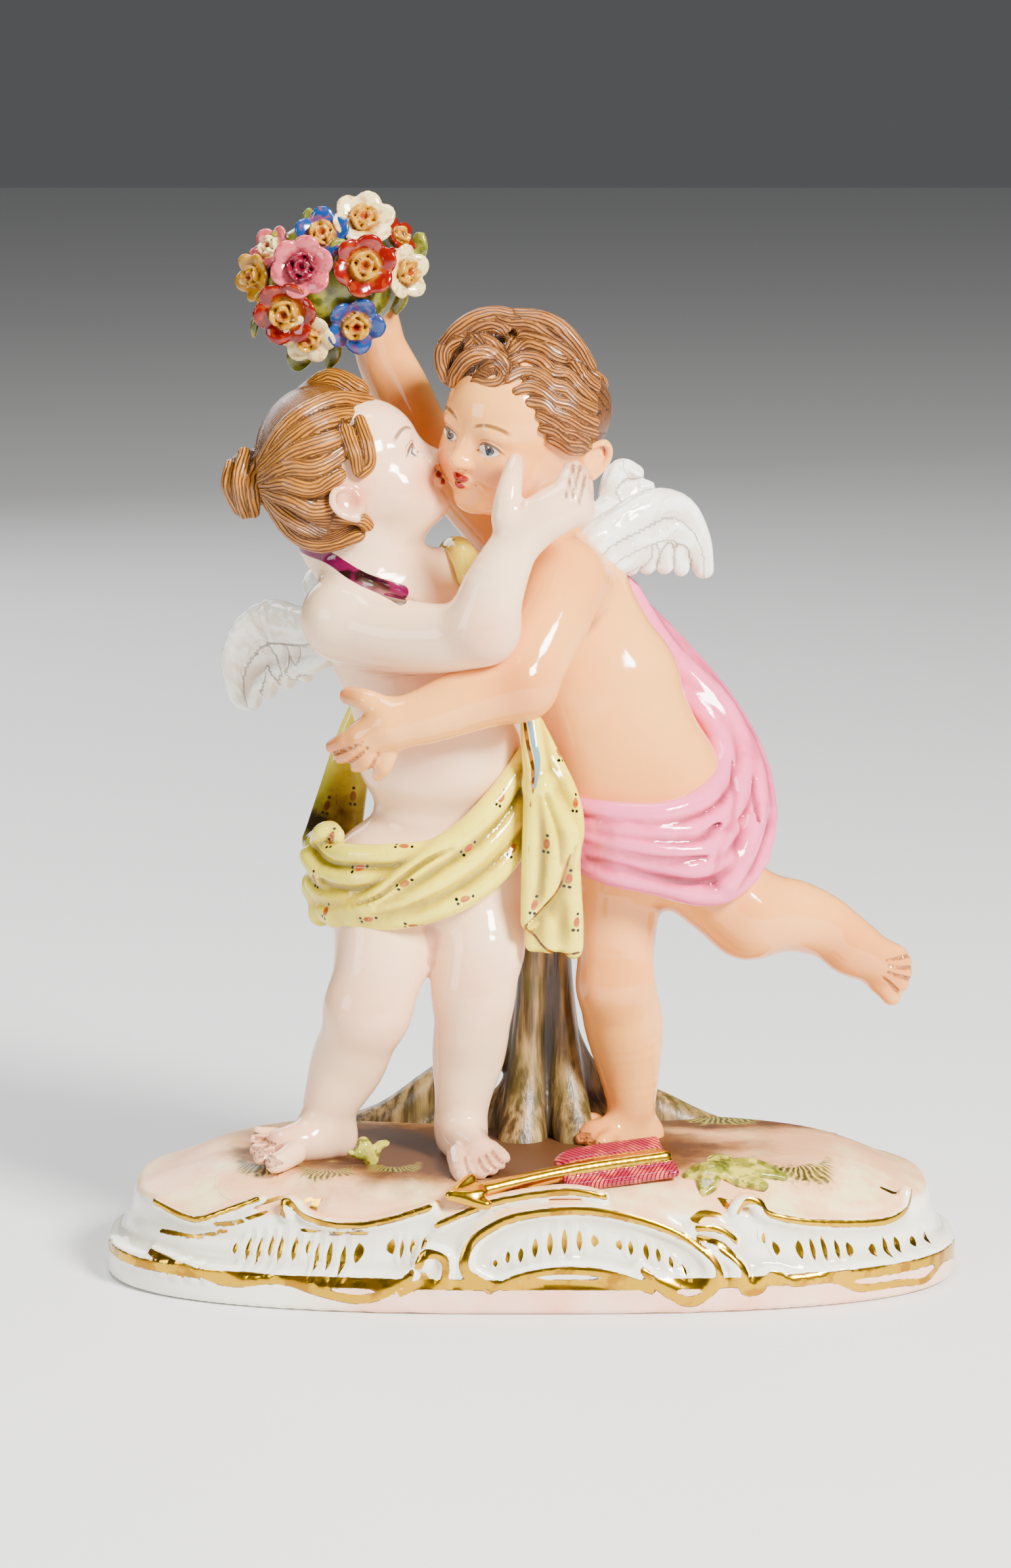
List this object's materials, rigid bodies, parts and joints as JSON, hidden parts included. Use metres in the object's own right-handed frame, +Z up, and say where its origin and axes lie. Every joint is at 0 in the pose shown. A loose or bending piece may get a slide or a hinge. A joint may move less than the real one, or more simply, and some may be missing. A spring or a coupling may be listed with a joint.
{
  "type": "porcelain figure group",
  "caption": "Glazed porcelain group of two winged putti embracing and kissing, one raising a posy, on an oval base with gilt scrollwork.",
  "frame": {"origin": "middle of the flat underside of the base", "axes": "+Z up, the side seen from the front looks along -Y, +X to the viewer's right"},
  "size_m": [0.1574, 0.0772, 0.1989],
  "materials": {
    "porcelain": "glossy clear glaze over hand-painted enamel colours and burnished gilding"
  },
  "bodies": {
    "root": {"figure_group": "porcelain"}
  },
  "joints": []
}
